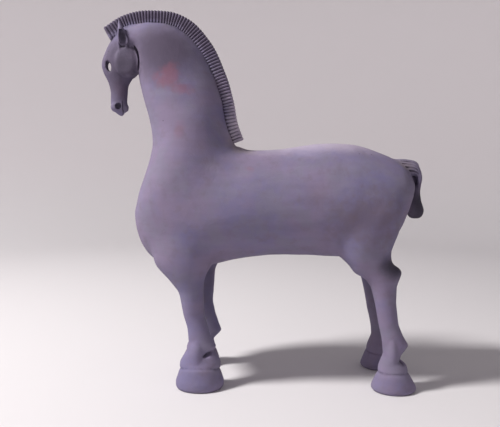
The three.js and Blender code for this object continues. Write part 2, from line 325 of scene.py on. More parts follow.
# %% Sizes of the feet
FOOT_SIDES = 56
LEFT_FOREFOOT = [
    (0, -99.5, -47.5, 21.4, 40, 0),
    (1.6, -101.6, -45.6, 23.2, 40, 0),
    (4, -102.2, -45, 23.7, 40, 0),
    (9, -101.9, -45.1, 23.5, 40, 0.8),
    (21.4, -97.6, -48.9, 20.6, 40, 4.2),
    (23, -95.2, -51.2, 18.4, 40, 4.4),
    (24.6, -97.2, -48.8, 18.8, 40, 4),
    (32, -96.8, -48.4, 16.2, 40, 0),
    (40, -92.2, -52.6, 14, 40, 0),
    (45, -87.6, -57.6, 12.6, 40, 0),
    (50, -86.3, -53.2, 12.2, 40, 0),
    (57, -86.8, -58, 11.8, 40, 0),
    (72, -88, -63, 11.5, 39, 0),
    (80, -90.6, -65, 12, 38.4, 0),
]
LEFT_FORE_BONES = [((-75.6, 43, 37), (11, 14, 27))]
LEFT_FORE_CREASES = [((-60.5, 51.5, 43.8), (9.4, 7.6, 2.6), 26)]
RIGHT_FOREFOOT = [
    (0, -105, -60, 20.7, 40, 0),
    (1.6, -107, -58, 22.4, 40, 0),
    (4, -107.6, -57.4, 22.9, 40, 0),
    (9, -107, -58, 22.8, 40, 0.8),
    (18.6, -102, -61.5, 20, 40, 3.6),
    (20.2, -99.6, -64.2, 18, 40, 3.8),
    (21.8, -101.4, -62.8, 18.4, 40, 3.6),
    (28, -100, -63.8, 16, 40, 0),
    (35, -95, -65.6, 13.6, 40, 0),
    (40, -90.4, -60.4, 12.6, 40, 0),
    (46, -88, -53.8, 12.2, 40, 0),
    (55, -87, -57.6, 11.8, 40, 0),
    (72, -88, -63, 11.5, 39, 0),
    (80, -90.6, -64, 12, 38.4, 0),
]
RIGHT_FORE_BONES = [((-82, 42.8, 35), (9.8, 13.6, 25))]
RIGHT_FORE_CREASES = [((-66, 50.5, 39.6), (9, 8.5, 1.8), 26)]
HINDFOOT = [
    (0, 132, 178.5, 19.8, 40, 0),
    (1.6, 129.8, 181, 21.6, 40, 0),
    (4, 129, 181.6, 22.1, 40, 0),
    (8, 130.4, 180, 21.8, 40, 0.4),
    (20.2, 135.7, 172.6, 18.8, 40, 1.6),
    (21.8, 138, 170.2, 16.8, 40, 1.8),
    (23.4, 136.6, 171.4, 17.6, 40, 1.6),
    (30, 137.6, 170, 15.6, 40, 0),
    (33.4, 139, 167, 14.6, 40, 0),
    (36.6, 140.4, 161.8, 13.6, 40, 0),
    (43, 142.8, 163, 12.8, 40, 0),
    (54, 141.6, 172, 12.2, 40, 0),
    (64, 140, 166, 11.8, 40, 0),
    (78, 136.6, 160.2, 11.4, 39.5, 0),
    (84, 135.4, 159.4, 11.5, 39.4, 0),
]
HIND_BONES = [((152.2, 43.2, 44), (8, 11.6, 30)), ((155, 38, 139.6), (8.8, 9.4, 8))]
HIND_CREASES = [((162.4, 47, 34.6), (5, 8, 1.3), -40)]
print("rings in a foot:", len(LEFT_FOREFOOT), len(RIGHT_FOREFOOT), len(HINDFOOT))

# %% Build the feet and join them on
FEET = [
    ("left_forefoot", LEFT_FOREFOOT, LEFT_FORE_BONES, LEFT_FORE_CREASES, -1),
    ("right_forefoot", RIGHT_FOREFOOT, RIGHT_FORE_BONES, RIGHT_FORE_CREASES, 1),
    ("left_hindfoot", HINDFOOT, HIND_BONES, HIND_CREASES, -1),
    ("right_hindfoot", HINDFOOT, HIND_BONES, HIND_CREASES, 1),
]
for name, rows, bones, creases, side in FEET:
    combine(horse, stack(name, rows, FOOT_SIDES, side), "UNION")
    for (x, out, z), radii in bones:
        combine(horse, lump(name + "_bone", (x, side * out, z), radii), "UNION")
    for (x, out, z), radii, slope in creases:
        combine(horse, lump(name + "_crease", (x, side * out, z), radii, 32, slope), "DIFFERENCE")
lowest = min(v.co.z for v in horse.data.vertices)
print("with feet:", triangles(horse), "triangles, lowest", round(lowest / MM, 2))

# %% [markdown]
# ## Soft forms added before smoothing
# The round cheeks, the nostrils' wings, the lips, the poll behind the ears, the swelling at the stifle and the
# thick root of the tail are plain lumps pressed onto the body, so they go on now and are rubbed in with everything
# else. Two notches, cut away, give the lips their shape. Behind the tail's bend a lump closes the gap on the far
# side: from the left one looks into a dark pocket there and not through a hole.

# %% Lumps on the head, thighs and tail
UPPER_LIP = ((-173.2, 0, 328.4), (4.6, 5.8, 6))
LOWER_LIP = ((-167.2, 0, 334), (3, 5.2, 5))
POLL = ((-157.5, 0, 414), (10, 13.4, 14))
WING = ((-178, 3.8, 334.6), (7.4, 5.8, 6.8))
LIP_NOTCHES = [((-181.6, 0, 325.2), (3.2, 12, 2.8)), ((-168, 0, 325.4), (2.8, 12, 2.8))]
STIFLE = ((116, 37, 147), (13, 15, 13))
TAIL_ROOT = ((168, 0, 262.8), (22, 8.4, 9.3))
TAIL_WEB = ((185.4, 5.4, 242), (4.6, 3.8, 11))
for place, radii in (UPPER_LIP, LOWER_LIP, POLL, TAIL_ROOT, TAIL_WEB):
    combine(horse, lump("lump", place, radii), "UNION")
for (x, out, z), radii in (WING, STIFLE):
    for side in (-1, 1):
        combine(horse, lump("lump", (x, side * out, z), radii, 32), "UNION")
for place, radii in LIP_NOTCHES:
    combine(horse, lump("notch", place, radii, 32), "DIFFERENCE")
print("with lumps:", triangles(horse), "triangles")

# %% Cheeks
CHEEK_PLACE = Vector((-164, 0, 388.4)) * MM
CHEEK_RADII = Vector((14.8, 18.8)) * MM
CHEEK_HALF = 13.4 * MM
CHEEK_ROUND = 5.5 * MM
alone(horse)
bpy.ops.mesh.primitive_cylinder_add(vertices=72, radius=1, depth=2 * CHEEK_HALF, rotation=(math.pi / 2, 0, 0))
cheek = fresh("cheek")
settle(cheek)
cheek.scale = (CHEEK_RADII.x, 1, CHEEK_RADII.y)
cheek.location = CHEEK_PLACE
settle(cheek)
pick_faces(cheek, lambda middle, normal: abs(normal.y) > 0.5)
bpy.ops.mesh.bevel(offset=CHEEK_ROUND, segments=5, affect="EDGES")
bpy.ops.object.mode_set(mode="OBJECT")
combine(horse, cheek, "UNION")
print("with cheeks:", triangles(horse), "triangles")

# %% [markdown]
# ## Clay, not facets
# A voxel remesh turns the cut-and-joined shape into one even skin of small squares. Smooth modifiers then work
# like a thumb on wet clay. How hard they rub is set by vertex groups: firmly on the trunk and neck, lightly on
# the head, tail and feet, and most of all where legs grow out of the body, so that no seam is left there.

# %% Remesh
VOXEL = 0.95 * MM
modify(horse, "REMESH", mode="VOXEL", voxel_size=VOXEL, use_smooth_shade=True)
print("remeshed:", len(horse.data.vertices), "points")


# %% Tools for vertex groups
WEIGHT_STEPS = 20


def points_of(obj):
    """The mesh's points as an array, in mm."""
    flat = np.empty(len(obj.data.vertices) * 3, np.float32)
    obj.data.vertices.foreach_get("co", flat)
    return flat.reshape(-1, 3).astype(float) / MM


def ramp(value, low, high):
    """0 below low, 1 above high, smooth between them."""
    share = np.clip((value - low) / (high - low), 0, 1)
    return share * share * (3 - 2 * share)


def band(value, rise, fall):
    """1 between a rise and a fall, each given by its two ends, and 0 outside them."""
    return ramp(value, *rise) * (1 - ramp(value, *fall))


def away_from(place, x, y, z):
    """The distance of every point from a place, in mm."""
    return np.sqrt((x - place[0]) ** 2 + (y - place[1]) ** 2 + (z - place[2]) ** 2)


def weigh(obj, name, weights):
    """Makes a vertex group from an array of weights, in a few even steps."""
    group = obj.vertex_groups.new(name=name)
    steps = np.rint(np.clip(weights, 0, 1) * WEIGHT_STEPS).astype(int)
    for step in range(1, WEIGHT_STEPS + 1):
        members = np.flatnonzero(steps == step)
        if len(members):
            group.add(members.tolist(), step / WEIGHT_STEPS, "REPLACE")
    return group


# %% Where the thumb rubs firmly and where lightly
RUB_TRUNK, RUB_KNEE, RUB_SHANK, RUB_PASTERN, RUB_FOOT = 1.0, 0.6, 0.28, 0.13, 0.05
RUB_HEAD, RUB_MUZZLE, RUB_TAIL, RUB_FOLD = 0.09, 0.03, 0.1, 0.22
FOOT_TO_PASTERN, PASTERN_TO_SHANK, SHANK_TO_TRUNK = (24, 30), (58, 72), (120, 165)
KNEE_RISE, KNEE_FALL, FAR_CALF_RISE = (78, 92), (128, 140), (36, 44)
FOLD_PLACE, FOLD_REACH = (-62, -48, 44), (6, 14)
HEAD_FRONT, HEAD_RISE, MUZZLE_TO_HEAD = (146, 160), (320, 330), (344, 358)
TAIL_BACK, TAIL_RISE = (174, 184), (195, 200)
SOLE_HEIGHT = 1.2
x, y, z = points_of(horse).T
rub = RUB_SHANK + (RUB_TRUNK - RUB_SHANK) * ramp(z, *SHANK_TO_TRUNK)
rub = rub + (RUB_KNEE - rub) * band(z, KNEE_RISE, KNEE_FALL) * (x < 0)
rub = RUB_PASTERN + (rub - RUB_PASTERN) * ramp(z, *PASTERN_TO_SHANK)
rub = RUB_FOOT + (rub - RUB_FOOT) * ramp(z, *FOOT_TO_PASTERN)
far_calf = band(z, FAR_CALF_RISE, KNEE_FALL) * (x < 0) * (y > 0)
rub = rub + (RUB_KNEE - rub) * far_calf
fold = 1 - ramp(away_from(FOLD_PLACE, x, y, z), *FOLD_REACH)
rub = np.maximum(rub, RUB_FOLD * fold)
head_zone = ramp(-x, *HEAD_FRONT) * ramp(z, *HEAD_RISE)
rub_head = RUB_MUZZLE + (RUB_HEAD - RUB_MUZZLE) * ramp(z, *MUZZLE_TO_HEAD)
rub = rub + (rub_head - rub) * head_zone
tail_zone = ramp(x, *TAIL_BACK) * ramp(z, *TAIL_RISE)
rub = rub + (RUB_TAIL - rub) * tail_zone
rub[z < SOLE_HEIGHT] = 0
weigh(horse, "rub", rub)
print("firmly rubbed points:", int((rub > 0.5).sum()))

# %% Where the legs are blended into the body
LEG_ROOTS = [(-94, 40, 166), (118, 38, 166)]
ROOT_REACH = (21.7, 62)
STIFLE_SPARED, STIFLE_REACH, STIFLE_SHARE = (107, 37, 144), (10, 26), 0.6
blend = np.zeros(len(z))
for root in LEG_ROOTS:
    blend = np.maximum(blend, 1 - ramp(away_from(root, x, np.abs(y), z), *ROOT_REACH))
stifle = 1 - ramp(away_from(STIFLE_SPARED, x, np.abs(y), z), *STIFLE_REACH)
blend = blend * (1 - STIFLE_SHARE * stifle)
weigh(horse, "blend", blend * (1 - tail_zone))
print("blended points:", int((blend > 0.5).sum()))

# %% Smooth
BLEND_FACTOR, BLEND_TURNS = 0.8, 420
RUB_FACTOR, RUB_TURNS = 0.7, 120
modify(horse, "SMOOTH", factor=BLEND_FACTOR, iterations=BLEND_TURNS, vertex_group="blend")
modify(horse, "SMOOTH", factor=RUB_FACTOR, iterations=RUB_TURNS, vertex_group="rub")
horse.vertex_groups.clear()
smooth_points = points_of(horse)
print("box after smoothing:", smooth_points.min(0).round(1), smooth_points.max(0).round(1))

# %% [markdown]
# ## The back of the thigh
# On the real horse a nearly straight line runs from the tail down to the hock, and ours is still too round there.
# A Displace modifier without a texture moves skin by a fixed way along one axis, and a vertex group with soft
# edges says where. One of them draws the buttock in, and one fills the thin place above the hock.

# %% Straighten the line from tail to hock
BUTTOCK_DRAWN = -4.6 * MM
GASKIN_FILLED = 2.4 * MM
BUTTOCK_LONG, BUTTOCK_HIGH = ((150, 170), (184, 193)), ((182, 206), (214, 244))
GASKIN_LONG, GASKIN_HIGH = ((138, 150), (172, 180)), ((140, 160), (170, 192))
x, y, z = points_of(horse).T
drawn = band(x, *BUTTOCK_LONG) * band(z, *BUTTOCK_HIGH)
filled = band(x, *GASKIN_LONG) * band(z, *GASKIN_HIGH)
for name, weights, way in (("drawn", drawn, BUTTOCK_DRAWN), ("filled", filled, GASKIN_FILLED)):
    weigh(horse, name, weights)
    modify(horse, "DISPLACE", direction="X", strength=way, mid_level=0, vertex_group=name)
horse.vertex_groups.clear()
print("moved points:", int((drawn > 0.5).sum()), "and", int((filled > 0.5).sum()))

# %% [markdown]
# ## The hand in the clay
# A thumb leaves low swells behind. Two Displace modifiers with soft cloud textures push the skin in and out by
# a few tenths of a millimetre. After that the even mesh is thinned: flat places need fewer triangles.

# %% Swells and thinning
SWELLS = [("broad_swells", 34 * MM, 0.9 * MM), ("small_swells", 11 * MM, 0.3 * MM)]
ABOVE_SOLES = (1.5, 8)
BODY_TRIANGLES = 112000
x, y, z = points_of(horse).T
weigh(horse, "above_soles", ramp(z, *ABOVE_SOLES))
for name, size, height in SWELLS:
    texture = bpy.data.textures.new(name, "CLOUDS")
    texture.noise_scale = size
    modify(
        horse,
        "DISPLACE",
        texture=texture,
        texture_coords="LOCAL",
        strength=height,
        mid_level=0.5,
        vertex_group="above_soles",
    )
horse.vertex_groups.clear()
modify(horse, "DECIMATE", ratio=BODY_TRIANGLES / triangles(horse))
print("thinned to", triangles(horse), "triangles")

# %% [markdown]
# ## The mane
# The mane is an upright band scored across into some seventy ridges, rounded like cords, with sharp grooves
# between them. One ridge is modelled from a cube: open at both ends, rounded along its crest, and pinched at the
# ends where the grooves run. An Array repeats it, creases keep the grooves sharp under a Subdivision Surface,
# and the Curve modifier bends the row along the crest line.

# %% One ridge
MANE_RIDGES = 70
MANE_HALF = 7.4 * MM
MANE_DEPTH = 20 * MM
MANE_ROUND = 3.2 * MM
GROOVE_SIDE = 2.5 * MM
GROOVE_TOP = 1.05 * MM
GROOVE_CREASE = 0.8
pitch = crest_length / MANE_RIDGES

alone(horse)
bpy.ops.mesh.primitive_cube_add(size=1)
mane = fresh("mane")
mane.scale = (pitch, 2 * MANE_HALF, MANE_DEPTH)
mane.location = (pitch / 2, 0, -MANE_DEPTH / 2)
settle(mane)
pick_faces(mane, lambda middle, normal: abs(normal.x) > 0.5)
bpy.ops.mesh.delete(type="ONLY_FACE")
pick_edges(mane, lambda a, b: abs(a.x - b.x) > pitch / 2 and a.z > -MM)
bpy.ops.mesh.bevel(offset=MANE_ROUND, segments=2, affect="EDGES")
pick_edges(mane, lambda a, b: abs(a.x - b.x) > pitch / 2)
bpy.ops.mesh.subdivide(number_cuts=1)
pick_edges(mane, lambda a, b: abs(a.z - b.z) > MANE_DEPTH / 2)
bpy.ops.mesh.subdivide(number_cuts=2)


def at_groove(point):
    """True on the two ends of the ridge, where the grooves run."""
    return min(point.x, pitch - point.x) < 0.1 * pitch


pick_points(mane, at_groove)
narrow = 1 - GROOVE_SIDE / MANE_HALF
lower = 1 - GROOVE_TOP / MANE_DEPTH
bpy.ops.transform.resize(value=(1, narrow, lower), center_override=(pitch / 2, 0, -MANE_DEPTH))
pick_edges(mane, lambda a, b: at_groove(a) and at_groove(b))
bpy.ops.transform.edge_crease(value=GROOVE_CREASE)
bpy.ops.object.mode_set(mode="OBJECT")
print("one ridge:", len(mane.data.polygons), "faces, pitch", round(pitch / MM, 2), "mm")

# %% The row of ridges, bent along the crest
modify(
    mane,
    "ARRAY",
    count=MANE_RIDGES,
    use_relative_offset=False,
    use_constant_offset=True,
    constant_offset_displace=(pitch, 0, 0),
    use_merge_vertices=True,
    merge_threshold=0.02 * MM,
)
edit(mane, "EDGE")
bpy.ops.mesh.select_non_manifold(extend=False, use_boundary=True, use_wire=False, use_multi_face=False)
bpy.ops.mesh.edge_face_add()
bpy.ops.object.mode_set(mode="OBJECT")
modify(mane, "SUBSURF", levels=2, render_levels=2)
modify(mane, "CURVE", object=crest, deform_axis="POS_X")
face_outwards(mane)
print("mane:", triangles(mane), "triangles")
combine(horse, mane, "UNION")
print("with mane:", triangles(horse), "triangles")

# %% [markdown]
# ## Ears and eyes
# The ears are pointed cups, stacked of rings like the feet, with a hollow cut into the outer side. The eyes are
# almond holes right through the head: two overlapping cylinders share an almond between them. A shallow socket on
# each side makes the lids slope in. A piece of a torus cuts the crease between the jaw and the neck.

# %% Ears
EAR = [
    (403, -170, -161.4, 1.6, 8, 0),
    (407, -172, -159.8, 3.6, 9.8, 0),
    (410, -172.5, -159.2, 5, 11.4, 0),
    (414, -172.8, -159.5, 5.5, 12.2, 0),
    (420, -172.6, -162.4, 4.6, 12.9, 0),
    (427, -172.1, -166.2, 3.2, 13.6, 0),
    (433, -171.2, -169.2, 1.5, 14.2, 0),
    (435, -170.9, -170.1, 0.5, 14.4, 0),
]
EAR_HOLLOW = [
    (408.2, -170.9, -160, 4, 16.4, 0),
    (414, -171.1, -160.2, 4.4, 16.9, 0),
    (420, -171, -163.2, 3.8, 16.9, 0),
    (425, -170.6, -166.8, 2.2, 16.2, 0),
]
for side in (-1, 1):
    combine(horse, stack("ear", EAR, 32, side), "UNION")
    combine(horse, stack("ear_hollow", EAR_HOLLOW, 24, side), "DIFFERENCE")
print("with ears:", triangles(horse), "triangles")

# %% Eyes
EYE_PLACE = Vector((-185.7, 0, 383.2)) * MM
EYE_HALF_LENGTH = 6 * MM
EYE_HALF_WIDTH = 1.9 * MM
EYE_SLANT = -15
EYE_REACH = 16 * MM
SOCKET = ((-185.7, 8.2, 383.2), (3.4, 3.2, 8))
arc_radius = (EYE_HALF_LENGTH**2 + EYE_HALF_WIDTH**2) / (2 * EYE_HALF_WIDTH)


def lid_arc(name, offset):
    """A cylinder across the head; two of them overlap in the almond."""
    alone(horse)
    bpy.ops.mesh.primitive_cylinder_add(vertices=128, radius=arc_radius, depth=2 * EYE_REACH)
    arc = fresh(name)
    arc.location = (offset, 0, 0)
    settle(arc)
    return arc


eye = lid_arc("eye", arc_radius - EYE_HALF_WIDTH)
combine(eye, lid_arc("lid", EYE_HALF_WIDTH - arc_radius), "INTERSECT")
eye.rotation_euler = (math.pi / 2, math.radians(EYE_SLANT), 0)
eye.location = EYE_PLACE
settle(eye)
face_outwards(eye)
for side in (-1, 1):
    (x, out, z), radii = SOCKET
    combine(horse, lump("socket", (x, side * out, z), radii, 32, -EYE_SLANT), "DIFFERENCE")
combine(horse, eye, "DIFFERENCE")
print("with eyes:", triangles(horse), "triangles")

# %% Crease behind the jaw
CREASE_RADIUS = 16.6 * MM
CREASE_STRETCH = Vector((1, 2.1, 1.24))
CREASE_THICK = 1.8 * MM
CREASE_OUT = 12.6 * MM
CREASE_FROM = Vector((-154, 0, 375)) * MM
for side in (-1, 1):
    alone(horse)
    bpy.ops.mesh.primitive_torus_add(
        major_segments=96,
        minor_segments=16,
        major_radius=CREASE_RADIUS,
        minor_radius=CREASE_THICK,
        rotation=(math.pi / 2, 0, 0),
    )
    crease = fresh("jaw_crease")
    settle(crease)
    crease.scale = CREASE_STRETCH
    crease.location = (CHEEK_PLACE.x, side * CREASE_OUT, CHEEK_PLACE.z)
    settle(crease)
    for normal in ((-1, 0, 0), (0, 0, -1)):
        edit(crease)
        bpy.ops.mesh.select_all(action="SELECT")
        bpy.ops.mesh.bisect(plane_co=CREASE_FROM, plane_no=normal, use_fill=True, clear_outer=True)
        bpy.ops.object.mode_set(mode="OBJECT")
    face_outwards(crease)
    combine(horse, crease, "DIFFERENCE")
print("with jaw creases:", triangles(horse), "triangles")

# %% [markdown]
# ## Muzzle
# A small ball pressed into each side makes the nostrils, and a thin wedge cut from below parts the lips.

# %% Nostrils and mouth
NOSTRIL = ((-174.6, 9.6, 335.6), (4.4, 5, 4.4))
for side in (-1, 1):
    (x, out, z), radii = NOSTRIL
    combine(horse, lump("nostril", (x, side * out, z), radii, 32), "DIFFERENCE")

MOUTH_PLACE = Vector((-169.9, 0, 332)) * MM
MOUTH_HEIGHT = 20 * MM
MOUTH_GAPE = 1.7 * MM
MOUTH_ACROSS = 40 * MM
MOUTH_TOP_SHARE = 0.35
alone(horse)
bpy.ops.mesh.primitive_cube_add(size=1)
mouth = fresh("mouth")
mouth.scale = (MOUTH_GAPE, MOUTH_ACROSS, MOUTH_HEIGHT)
mouth.location = MOUTH_PLACE
settle(mouth)
pick_points(mouth, lambda point: point.z > MOUTH_PLACE.z)
bpy.ops.transform.resize(value=(MOUTH_TOP_SHARE, 1, 1), center_override=MOUTH_PLACE)
bpy.ops.object.mode_set(mode="OBJECT")
combine(horse, mouth, "DIFFERENCE")
print("with muzzle:", triangles(horse), "triangles")

# %% [markdown]
# ## The combed tail
# The root of the tail is combed: fine grooves run along it from the rump to the binding. Each groove is cut with
# a thin tube, a Bezier curve with a round bevel that tapers towards both ends, turned into a mesh. Cutting them one
# after the other lets neighbouring tubes overlap.

# %% Grooves along the tail
TAIL_LINE = [
    ((166, 271.6), (167, 250.6), 9.3),
    ((173, 271.4), (173, 250.8), 9.4),
    ((186, 267.6), (181.5, 250.8), 9),
    ((192.2, 256), (186, 250), 8.4),
    ((193.4, 246), (186.8, 245), 7.4),
    ((191.6, 234), (184.6, 234), 5.8),
]
TAIL_ANGLES = [14, 40, 64, 88, 112]
GROOVE_RADIUS = 1.4 * MM
GROOVE_TAPER = [0.5, 1.0, 1.0, 0.75, 0.45, 0.1]


def tail_groove(angle, side):
    """A thin tube along the tail's surface, at an angle from the top of its section."""
    alone(horse)
    bpy.ops.curve.primitive_bezier_curve_add()
    line = fresh("tail_groove")
    settle(line)
    line.data.dimensions = "3D"
    line.data.bevel_depth = GROOVE_RADIUS
    line.data.bevel_resolution = 2
    line.data.use_fill_caps = True
    spline = line.data.splines[0]
    spline.bezier_points.add(len(TAIL_LINE) - len(spline.bezier_points))
    for point, (upper, lower, half), taper in zip(spline.bezier_points, TAIL_LINE, GROOVE_TAPER):
        upper, lower = Vector((upper[0], 0, upper[1])), Vector((lower[0], 0, lower[1]))
        across = Vector((0, side * half * math.sin(math.radians(angle)), 0))
        along = (upper - lower) / 2 * math.cos(math.radians(angle))
        point.co = ((upper + lower) / 2 + along + across) * MM
        point.handle_left_type = "AUTO"
        point.handle_right_type = "AUTO"
        point.radius = taper
    alone(line)
    bpy.ops.object.convert(target="MESH")
    face_outwards(line)
    return line


for angle in TAIL_ANGLES:
    for side in (-1, 1):
        combine(horse, tail_groove(angle, side), "DIFFERENCE")
print("with combed tail:", triangles(horse), "triangles")

# %% [markdown]
# ## Mending the skin
# After many cuts a boolean can leave a sliver or a loose edge behind, here where the grooves run out on the tail.
# A cast or printed copy needs a closed skin. So all faces are split into triangles, loose edges are deleted and
# holes are filled. Selecting what is non-manifold then counts the edges that are still open.

# %% Mend the skin
edit(horse)
bpy.ops.mesh.select_all(action="SELECT")
bpy.ops.mesh.quads_convert_to_tris(quad_method="BEAUTY", ngon_method="BEAUTY")
bpy.ops.mesh.delete_loose()
bpy.ops.mesh.select_all(action="SELECT")
bpy.ops.mesh.fill_holes(sides=0)
bpy.ops.mesh.select_all(action="SELECT")
bpy.ops.mesh.quads_convert_to_tris(quad_method="BEAUTY", ngon_method="BEAUTY")
bpy.ops.mesh.select_all(action="DESELECT")
bpy.ops.mesh.select_mode(type="EDGE")
bpy.ops.mesh.select_non_manifold()
bpy.ops.object.mode_set(mode="OBJECT")
print("open edges left:", sum(edge.select for edge in horse.data.edges))

# %% [markdown]
# ## Where the clay is hollow and where the mane is
# Grooves are darkened as painted shade, and edges, where pigment rubs off, are lighter. For that the material
# needs to know, at each point, how hollow the skin is. A point is hollow where its neighbours lie above the plane
# of its normal, so we sum that over the edges, blur it a little and store it as an attribute. Where the sum is
# negative the skin stands out, and that is stored as worn. A third attribute marks the mane, which is darker
# towards the top.

# %% Cavity and worn edges
CAVITY_BLUR = 3
CAVITY_FULL = 0.16
MERGE_REACH = 0.02 * MM


def neighbour_mean(values, ends):
    """The mean of the values at the other ends of each point's edges."""
    total = np.zeros(len(values))
    count = np.zeros(len(values))
    for here, there in (ends, ends[::-1]):
        np.add.at(total, here, values[there])
        np.add.at(count, here, 1)
    return total / np.maximum(count, 1)


def store(obj, name, values):
    """Stores one number for each point as an attribute of the mesh."""
    attribute = obj.data.attributes.new(name, "FLOAT", "POINT")
    attribute.data.foreach_set("value", values.astype(np.float32))


edit(horse)
bpy.ops.mesh.select_all(action="SELECT")
bpy.ops.mesh.remove_doubles(threshold=MERGE_REACH)
bpy.ops.object.mode_set(mode="OBJECT")
p = points_of(horse)
ends = np.empty(len(horse.data.edges) * 2, np.int32)
horse.data.edges.foreach_get("vertices", ends)
ends = ends.reshape(-1, 2).T
normals = np.empty(len(p) * 3, np.float32)
horse.data.vertices.foreach_get("normal", normals)
normals = normals.reshape(-1, 3)
hollow = np.zeros(len(p))
count = np.zeros(len(p))
for here, there in (ends, ends[::-1]):
    step = p[there] - p[here]
    length = np.maximum(np.linalg.norm(step, axis=1), 1e-6)
    np.add.at(hollow, here, (step * normals[here]).sum(1) / length)
    np.add.at(count, here, 1)
hollow /= np.maximum(count, 1)
for turn in range(CAVITY_BLUR):
    hollow = (hollow + neighbour_mean(hollow, ends)) / 2
store(horse, "cavity", np.clip(hollow / CAVITY_FULL, 0, 1))
store(horse, "worn", np.clip(-hollow / CAVITY_FULL, 0, 1))
print("hollow points:", int((hollow > CAVITY_FULL / 2).sum()))

# %% Mane mask
MANE_REACH = (9.5, 13.5)
MANE_SIDE = 8.6
MANE_DARKENS = (310, 425)
crest_points = np.array(CREST, float)
steps = np.linspace(0, len(CREST) - 1, 400)
track = np.stack([np.interp(steps, range(len(CREST)), crest_points[:, k]) for k in (0, 1)], 1)
near = np.full(len(p), 1e9)
for place in track:
    near = np.minimum(near, np.hypot(p[:, 0] - place[0], p[:, 2] - place[1]))
on_mane = (1 - ramp(near, *MANE_REACH)) * (np.abs(p[:, 1]) < MANE_SIDE)
store(horse, "mane", on_mane * ramp(p[:, 2], *MANE_DARKENS))
print("mane points:", int((on_mane > 0.5).sum()))

# %% [markdown]
# ## The clay finish
# The skin is unglazed and matte: slate blue and violet brushed over each other, with a rose blush on the neck,
# brown on the haunch, and a darker head and mane. Effects that are used again are node groups, which hand out
# only colours, masks and normals; the shader itself stays in the material. All of them read object coordinates.


# %% Tools for node groups
def new_group(name, inputs, outputs):
    """An empty node group with the sockets named in two dictionaries of name and socket type."""
    tree = bpy.data.node_groups.new(name, "ShaderNodeTree")
    for title, kind in inputs.items():
        tree.interface.new_socket(title, in_out="INPUT", socket_type=kind)
    for title, kind in outputs.items():
        tree.interface.new_socket(title, in_out="OUTPUT", socket_type=kind)
    return tree, tree.nodes.new("NodeGroupInput"), tree.nodes.new("NodeGroupOutput")


def add(tree, kind, wires=None, values=None, **settings):
    """Adds a node, sets its options, plugs wires into its sockets and sets the values of others."""
    node = tree.nodes.new(kind)
    for key, value in settings.items():
        setattr(node, key, value)
    for socket, value in (values or {}).items():
        node.inputs[socket].default_value = value
    for socket, source in (wires or {}).items():
        tree.links.new(source, node.inputs[socket])
    return node


def mix(tree, factor, first, second, blend="MIX"):
    """Mixes two colours; each of the three may be a socket or a constant."""
    node = tree.nodes.new("ShaderNodeMix")
    node.data_type = "RGBA"
    node.blend_type = blend
    for socket, value in ((node.inputs[0], factor), (node.inputs[6], first), (node.inputs[7], second)):
        if isinstance(value, bpy.types.NodeSocket):
            tree.links.new(value, socket)
        else:
            socket.default_value = value
    return node.outputs[2]


def math_node(tree, operation, first, second=0.0, clamp=False):
    """A maths node; each operand may be a socket or a constant."""
    node = tree.nodes.new("ShaderNodeMath")
    node.operation = operation
    node.use_clamp = clamp
    for socket, value in zip(node.inputs, (first, second)):
        if isinstance(value, bpy.types.NodeSocket):
            tree.links.new(value, socket)
        else:
            socket.default_value = value
    return node.outputs[0]


def soft_step(tree, value, low, high):
    """0 below low, 1 above high, smooth between them."""
    return add(
        tree,
        "ShaderNodeMapRange",
        {"Value": value},
        {"From Min": low, "From Max": high},
        interpolation_type="SMOOTHSTEP",
    ).outputs["Result"]


# %% Mottled slate, as a node group
SLATE_BLUE = (0.154, 0.139, 0.249, 1)
SLATE_ROSE = (0.188, 0.151, 0.233, 1)
SLATE_GREY = (0.173, 0.158, 0.225, 1)
SLATE_BROWN = (0.156, 0.126, 0.180, 1)
tree, group_in, group_out = new_group(
    "mottled_slate",
    {"Point": "NodeSocketVector"},
    {"Colour": "NodeSocketColor"},
)
point = group_in.outputs["Point"]
broad = add(tree, "ShaderNodeTexNoise", {"Vector": point}, {"Scale": 13.0, "Detail": 4.0, "Roughness": 0.6})
second = add(tree, "ShaderNodeTexNoise", {"Vector": point}, {"Scale": 31.0, "Detail": 5.0, "Roughness": 0.65})
third = add(tree, "ShaderNodeTexNoise", {"Vector": point}, {"Scale": 74.0, "Detail": 3.0, "Roughness": 0.6})
stretch = add(
    tree,
    "ShaderNodeMapping",
    {"Vector": point},
    {"Scale": (22.0, 40.0, 120.0), "Rotation": (0.0, 0.35, 0.0)},
)
stroke = add(tree, "ShaderNodeTexNoise", {"Vector": stretch.outputs[0]}, {"Scale": 1.0, "Detail": 3.0})
colour = mix(tree, soft_step(tree, broad.outputs["Fac"], 0.36, 0.64), SLATE_BLUE, SLATE_ROSE)
grey_share = math_node(tree, "MULTIPLY", soft_step(tree, second.outputs["Fac"], 0.42, 0.66), 0.75)
colour = mix(tree, grey_share, colour, SLATE_GREY)
brown_share = math_node(tree, "MULTIPLY", soft_step(tree, third.outputs["Fac"], 0.5, 0.74), 0.55)
colour = mix(tree, brown_share, colour, SLATE_BROWN)
stroke_light = add(
    tree,
    "ShaderNodeMapRange",
    {"Value": stroke.outputs["Fac"]},
    {"From Min": 0.3, "From Max": 0.7, "To Min": 0.955, "To Max": 1.045},
)
light = add(tree, "ShaderNodeCombineColor", {k: stroke_light.outputs["Result"] for k in ("Red", "Green", "Blue")})
colour = mix(tree, 1.0, colour, light.outputs["Color"], "MULTIPLY")
tree.links.new(colour, group_out.inputs["Colour"])
mottled_slate = tree
print(tree.name, "has", len(tree.nodes), "nodes")

